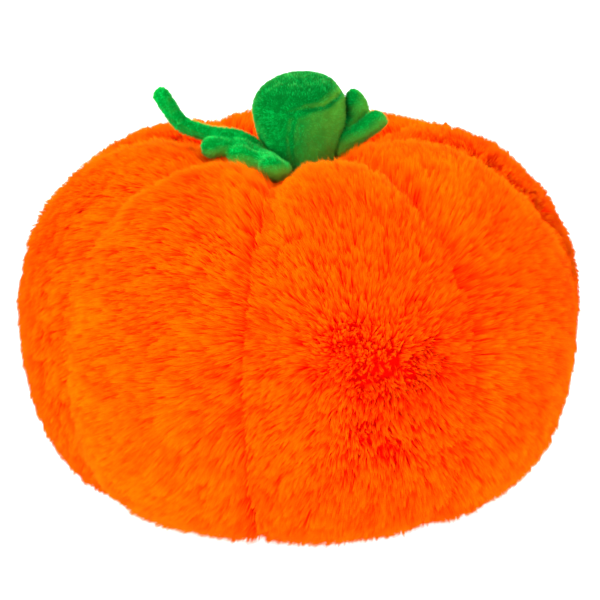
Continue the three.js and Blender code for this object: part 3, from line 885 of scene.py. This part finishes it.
def crease_stem(mesh):
    """Sewn lines of the stem: the rim, drawn in under a soft lip, and the seams down the side."""
    points, normals = points_of(mesh), normals_of(mesh)
    up = up_stem(points)
    x, y = points[:, 0] - (STEM_LEAN[0] + STEM_LEAN[1] * np.minimum(up, 1.1)), points[:, 1]
    angle, radius = np.degrees(np.arctan2(x, -y)), np.hypot(x, y)
    rim = STEM_RIM + STEM_TILT[0] * x + STEM_TILT[1] * y
    rim = rim + sum(far * np.sin(np.radians(count * angle + turn)) for far, count, turn in RIM_WAVES)
    rise, (start, over), (end, fade) = RIM_RISE
    rim = rim + rise * smooth((angle - start) / over) * smooth((end - angle) / fade)
    below = rim - points[:, 2]
    share = np.interp(angle, *RIM_SHARE)
    uneven, gathers, stray, strays = GATHERS
    gather = 1 + uneven * np.sin(np.radians(gathers * angle + stray * np.sin(np.radians(strays * angle))))
    move = -RIM_DEPTH * bell(below, RIM_WIDTH) * share
    move += LIP_BELOW * bell(below - BELOW_PLACE, LIP_WIDTH) * share * gather
    move += LIP_ABOVE * bell(below + ABOVE_PLACE, LIP_WIDTH) * share
    low = smooth(below / 3.0) * smooth((up - 0.25) / 0.4)
    for place, depth in STEM_SEAMS:
        off = np.radians(turned(angle - place - SEAM_BOW * (up - 0.5) ** 2 + SEAM_SHIFT)) * radius
        move -= depth * low * bell(off, SEAM_HALF)
        move += RIDGE * depth * low * bell(np.abs(off) - RIDGE_PLACE, RIDGE_WIDTH)
    move = move * smooth((radius - CREASED_FROM) / CREASED_FADE)
    move += waves(points, STEM_LUMPS)
    set_points(mesh, points + normals * move[:, None])


def spline(points, place):
    """A smooth line through the given points, at places from 0 to 1."""
    points = np.asarray(points, float)
    padded = np.concatenate([[2 * points[0] - points[1]], points, [2 * points[-1] - points[-2]]])
    at = np.clip(place, 0, 1) * (len(points) - 1)
    k = np.minimum(at.astype(int), len(points) - 2)
    part = (at - k)[:, None]
    before, first, last, after = (padded[k + n] for n in range(4))
    leave, arrive = 0.5 * (last - before), 0.5 * (after - first)
    return (first + leave * part + (3 * last - 3 * first - 2 * leave - arrive) * part ** 2
            + (2 * first - 2 * last + leave + arrive) * part ** 3)


def finger_form(chain):
    """One finger of the flat leaf: oval rings along a smooth line, round at both ends."""
    chain = np.array(chain, float)
    count = FINGER_STEPS * (len(chain) - 1) + 1
    place = np.linspace(0, 1, count)
    centres = spline(chain[:, :3], place)
    sizes = spline(chain[:, 3:], place)
    along = unit(np.gradient(centres, axis=0))
    ends = np.linspace(0, 1, FINGER_STEPS + 1)[1:]
    rows = [(0, -c) for c in ends[::-1]] + [(k, 0.0) for k in range(count)] + [(count - 1, c) for c in ends]
    angles = np.arange(FINGER_SIDES) * 2 * math.pi / FINGER_SIDES
    rings = []
    for k, reach in rows:
        scale = math.sqrt(max(1 - reach * reach, 1e-4))
        centre = centres[k] + along[k] * reach * sizes[k, 0]
        side = np.array([-along[k, 1], along[k, 0], 0.0])
        ring = centre + np.cos(angles)[:, None] * side * sizes[k, 0] * scale
        ring[:, 2] += np.sin(angles) * sizes[k, 1] * scale
        rings.append(ring)
    index = np.arange(len(rings) * FINGER_SIDES).reshape(len(rings), FINGER_SIDES)
    right = np.roll(index, -1, axis=1)
    faces = [split(index[:-1], right[:-1], right[1:], index[1:])]
    for ring, turn in ((index[0], -1), (index[-1], 1)):
        faces.append(np.stack([np.full(FINGER_SIDES - 2, ring[0]), ring[1:-1], ring[2:]], -1)[:, ::turn])
    return np.concatenate(rings), np.concatenate(faces)


def sheet(shape, u, v):
    """Where a place of the flat leaf lies in space."""
    reach = LEAF_STEP * (len(shape["rear"]) - 1)
    place = np.clip(u / reach, 0, 1)
    rear, front = spline(shape["rear"], place), spline(shape["front"], place)
    within = np.minimum(v, LEAF_BAND) if shape["beyond"] else v
    points = rear + (front - rear) * (within / LEAF_BAND)[:, None]
    points += np.array(shape["beyond"] or (0, 0, 0)) * (v - within)[:, None]
    step = 1e-3
    tangent = unit(spline(shape["rear"], place + step) - spline(shape["rear"], place - step))
    points += tangent * (u - place * reach)[:, None]
    points[:, 2] -= DROOP * np.maximum(v - DROOP_FROM, 0) ** 2
    return points


def draped(shape, points):
    """Bends the flat leaf into its place."""
    u, v, w = points.T
    along = sheet(shape, u + 0.5, v) - sheet(shape, u - 0.5, v)
    across = sheet(shape, u, v + 0.5) - sheet(shape, u, v - 0.5)
    return sheet(shape, u, v) + unit(np.cross(along, across)) * w[:, None]


def leaf(side):
    """A leaf of two faces, sewn and lightly filled flat, and then laid bent."""
    name, shape = f"leaf_{side}", LEAVES[side]
    points, faces, start = [], [], 0
    for chain in shape["fingers"]:
        form, corners = finger_form(chain)
        points.append(form)
        faces.append(corners + start)
        start += len(form)
    piece = remeshed(name, np.concatenate(points), np.concatenate(faces), LEAF_VOXEL)
    inflated(piece, LEAF_PRESSURE, LEAF_CAP)
    flat, normals = points_of(piece.data), normals_of(piece.data)
    seam = bell(flat[:, 2], LEAF_SEAM_WIDTH) * (1 - np.abs(normals[:, 2])) ** 2
    crumple = waves(flat, LEAF_CRUMPLE, shape["salt"])
    flat += normals * (crumple - LEAF_SEAM * seam)[:, None]
    set_points(piece.data, draped(shape, flat))
    tree = tree_of(piece.data)
    bright = np.full(len(flat), shape["bright"])
    # painted shadow: the pile is darker round one place below the round end of the second finger
    if "painted_shadow" in shape:
        *place, reach, dark = shape["painted_shadow"]
        bright *= 1 - dark * bell(lengths(flat[:, :2] - place), reach)
    mesh = pile_mesh(name, piece, shape["salt"], shape["bounce"], bright)
    put(name, mesh, [f"{name}_upper", f"{name}_lower"], "green_short_pile")
    return tree


def fibre(name, voxel, lump, salt):
    """Loose fibre filling: the solid of a node, drawn in here and there."""
    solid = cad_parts[name].data
    piece = remeshed(name, points_of(solid), triangles_of(solid), voxel)
    points, normals = points_of(piece.data), normals_of(piece.data)
    hollow = 0.7 + waves(points, [(0.5, 5 * lump + 2, 0), (0.2, 2 * lump + 1, 1)], salt)
    mesh = new_mesh(f"{name}_fibre", points - normals * lump * hollow[:, None], triangles_of(piece.data))
    bpy.data.objects.remove(piece)
    put(f"{name}_fibre", mesh, [name], "fibre_filling")


# ---- materials ----
# colours from root to tip, darker towards the roots as painted shade deep in the pile
LONG_PILE = [(0, (0.5, 0.0015, 0.0004)), (0.12, (0.98, 0.0025, 0.0004)),
             (0.4, (1.0, 0.027, 0.0004)), (1, (1.0, 0.109, 0.0004))]
SHORT_PILE = [(0, (0.0004, 0.10, 0.010)), (1, (0.0004, 0.38, 0.053))]
BOUNCE_COLOUR = (0.135, 0.41, 0.024, 1)
FIBRE = [(0, (0.72, 0.70, 0.66)), (1, (0.92, 0.91, 0.88))]
TONE_GREEN = (0.5, 1.6)  # what a tone of 0 and of 1 does to the green of the long pile
FLOOR_GLOW = 1


def node_material(name):
    material = bpy.data.materials.new(name)
    material.use_nodes = True
    tree = material.node_tree
    return material, tree, tree.nodes["Principled BSDF"]


def new_node(tree, kind, settings=None, inputs=None):
    node = tree.nodes.new("ShaderNode" + kind)
    for name, value in (settings or {}).items():
        setattr(node, name, value)
    set_inputs(node, inputs or {})
    return node


def set_inputs(node, inputs):
    for socket, value in inputs.items():
        node.inputs[socket].default_value = value


def attribute_of(tree, name, output="Fac"):
    return new_node(tree, "Attribute", {"attribute_name": name}).outputs[output]


def ramp_node(tree, source, stops):
    ramp = new_node(tree, "ValToRGB")
    colours = ramp.color_ramp.elements
    colours[1].color = (*stops[-1][1], 1)
    for place, colour in stops[:-1]:
        (colours.new(place) if place else colours[0]).color = (*colour, 1)
    tree.links.new(source, ramp.inputs["Fac"])
    return ramp.outputs["Color"]


def finish_pile(tree, shader, colour, roughness, sheen, sheen_roughness, tint):
    tree.links.new(colour, shader.inputs["Base Color"])
    tree.links.new(attribute_of(tree, "soft", "Vector"), shader.inputs["Normal"])
    set_inputs(shader, {"Roughness": roughness, "Specular IOR Level": 0.0, "Sheen Weight": sheen,
                        "Sheen Roughness": sheen_roughness, "Sheen Tint": (*tint, 1)})


def material_fur():
    """Long pile: deep red at the roots as painted shade deep in the pile, orange at the tips, each tuft lighter
    or redder by its tone, which carries painted light and shade.
    """
    material, tree, shader = node_material("long_pile")
    links = tree.links
    colour = ramp_node(tree, attribute_of(tree, "height"), LONG_PILE)
    light = new_node(tree, "MapRange", inputs={"To Min": TONE_GREEN[0], "To Max": TONE_GREEN[1]})
    links.new(attribute_of(tree, "tone"), light.inputs["Value"])
    green = new_node(tree, "CombineColor", inputs={"Red": 1.0, "Blue": 1.0})
    links.new(light.outputs["Result"], green.inputs["Green"])
    mix = new_node(tree, "Mix", {"data_type": "RGBA", "blend_type": "MULTIPLY"}, {"Factor": 1.0})
    links.new(colour, mix.inputs[6])
    links.new(green.outputs["Color"], mix.inputs[7])
    finish_pile(tree, shader, mix.outputs[2], 0.75, 0.12, 0.3, (1.0, 0.5, 0.03))
    return material


def material_short():
    """Short green pile, lighter and darker by its tone, which carries painted light on the lower stem and a
    painted shadow on the right leaf, with painted orange bounce light from the fur mixed in.
    """
    material, tree, shader = node_material("short_pile_cloth")
    links = tree.links
    colour = ramp_node(tree, attribute_of(tree, "height"), SHORT_PILE)
    shade = new_node(tree, "VectorMath", {"operation": "SCALE"})
    links.new(colour, shade.inputs[0])
    links.new(attribute_of(tree, "tone"), shade.inputs["Scale"])
    # mixes in the painted orange bounce light
    bounce_mix = new_node(tree, "Mix", {"data_type": "RGBA"}, {7: BOUNCE_COLOUR})
    links.new(attribute_of(tree, "painted_bounce"), bounce_mix.inputs["Factor"])
    links.new(shade.outputs["Vector"], bounce_mix.inputs[6])
    finish_pile(tree, shader, bounce_mix.outputs[2], 0.8, 0.06, 0.35, (0.9, 0.5, 0.2))
    return material


def material_fibre():
    """White loose fibre: fine wisps in its colour and bump."""
    material, tree, shader = node_material("loose_fibre")
    links = tree.links
    place = new_node(tree, "TexCoord")
    wisps = new_node(tree, "TexNoise", inputs={"Scale": 260.0, "Detail": 6.0, "Distortion": 1.5})
    links.new(place.outputs["Object"], wisps.inputs["Vector"])
    links.new(ramp_node(tree, wisps.outputs["Fac"], FIBRE), shader.inputs["Base Color"])
    bump = new_node(tree, "Bump", inputs={"Strength": 0.6, "Distance": 0.001})
    links.new(wisps.outputs["Fac"], bump.inputs["Height"])
    links.new(bump.outputs["Normal"], shader.inputs["Normal"])
    set_inputs(shader, {"Roughness": 1.0})
    return material


# ---- scene ----
# soft lamps: azimuth from the front towards +X, elevation, spread and strength
SUNS = [("key", -34, 12, 60, 4.4), ("fill", 64, 10, 80, 0.95), ("top", 0, 84, 120, 1.1),
        ("left", -112, 30, 90, 1.9), ("right", 130, 34, 90, 2.1), ("back", 180, 25, 90, 3.2)]
WORLD_STRENGTH = 0.22
# the paper floor curves up all round: radius and height
FLOOR_CURVE = [(8000, 0), (9500, 100), (10700, 400), (11500, 900), (12000, 1700)]
FLOOR_SIDES = 48
MAX_BOUNCES, DIFFUSE_BOUNCES = 12, 8


def circles(profile, sides):
    """A ring of points for each radius and height."""
    angles = np.arange(sides) * 2 * math.pi / sides
    return [np.stack([r * np.sin(angles), -r * np.cos(angles), np.full(sides, z)], 1) for r, z in profile]


def make_floor():
    faces = [tuple(range(FLOOR_SIDES))]
    for ring in range(len(FLOOR_CURVE) - 1):
        for k in range(FLOOR_SIDES):
            a, b = ring * FLOOR_SIDES + k, ring * FLOOR_SIDES + (k + 1) % FLOOR_SIDES
            faces.append((a + FLOOR_SIDES, b + FLOOR_SIDES, b, a))
    floor = faces_object("floor", np.concatenate(circles(FLOOR_CURVE, FLOOR_SIDES)), faces)
    material, _, shader = node_material("floor_paper")
    set_inputs(shader, {"Base Color": (0.93, 0.93, 0.93, 1), "Roughness": 0.9,
                        "Emission Color": (1, 1, 1, 1), "Emission Strength": FLOOR_GLOW})
    floor.data.materials.append(material)


def make_light():
    scene = bpy.context.scene
    scene.world = bpy.data.worlds.new("studio")
    scene.world.use_nodes = True
    background = scene.world.node_tree.nodes["Background"]
    set_inputs(background, {"Color": (1, 1, 1, 1), "Strength": WORLD_STRENGTH})
    for name, azimuth, elevation, spread, strength in SUNS:
        data = bpy.data.lights.new(name, "SUN")
        data.angle = math.radians(spread)
        data.energy = strength
        data.cycles.use_multiple_importance_sampling = False
        a, e = math.radians(azimuth), math.radians(elevation)
        back = Vector((math.sin(a) * math.cos(e), -math.cos(a) * math.cos(e), math.sin(e)))
        new_object(name, data).rotation_euler = back.to_track_quat("Z", "Y").to_euler()
    scene.view_settings.view_transform = "Standard"
    scene.cycles.max_bounces = MAX_BOUNCES
    scene.cycles.diffuse_bounces = DIFFUSE_BOUNCES
    scene.cycles.use_light_tree = False


make_camera()
make_floor()
make_light()
materials = {"orange_long_pile": material_fur(), "green_short_pile": material_short(),
             "fibre_filling": material_fibre()}
covers = [stem(), leaf("left"), leaf("right")]
for number in range(1, GORES + 1):
    fur_panel(number, covers)
for filling in FILLINGS:
    fibre(*filling)
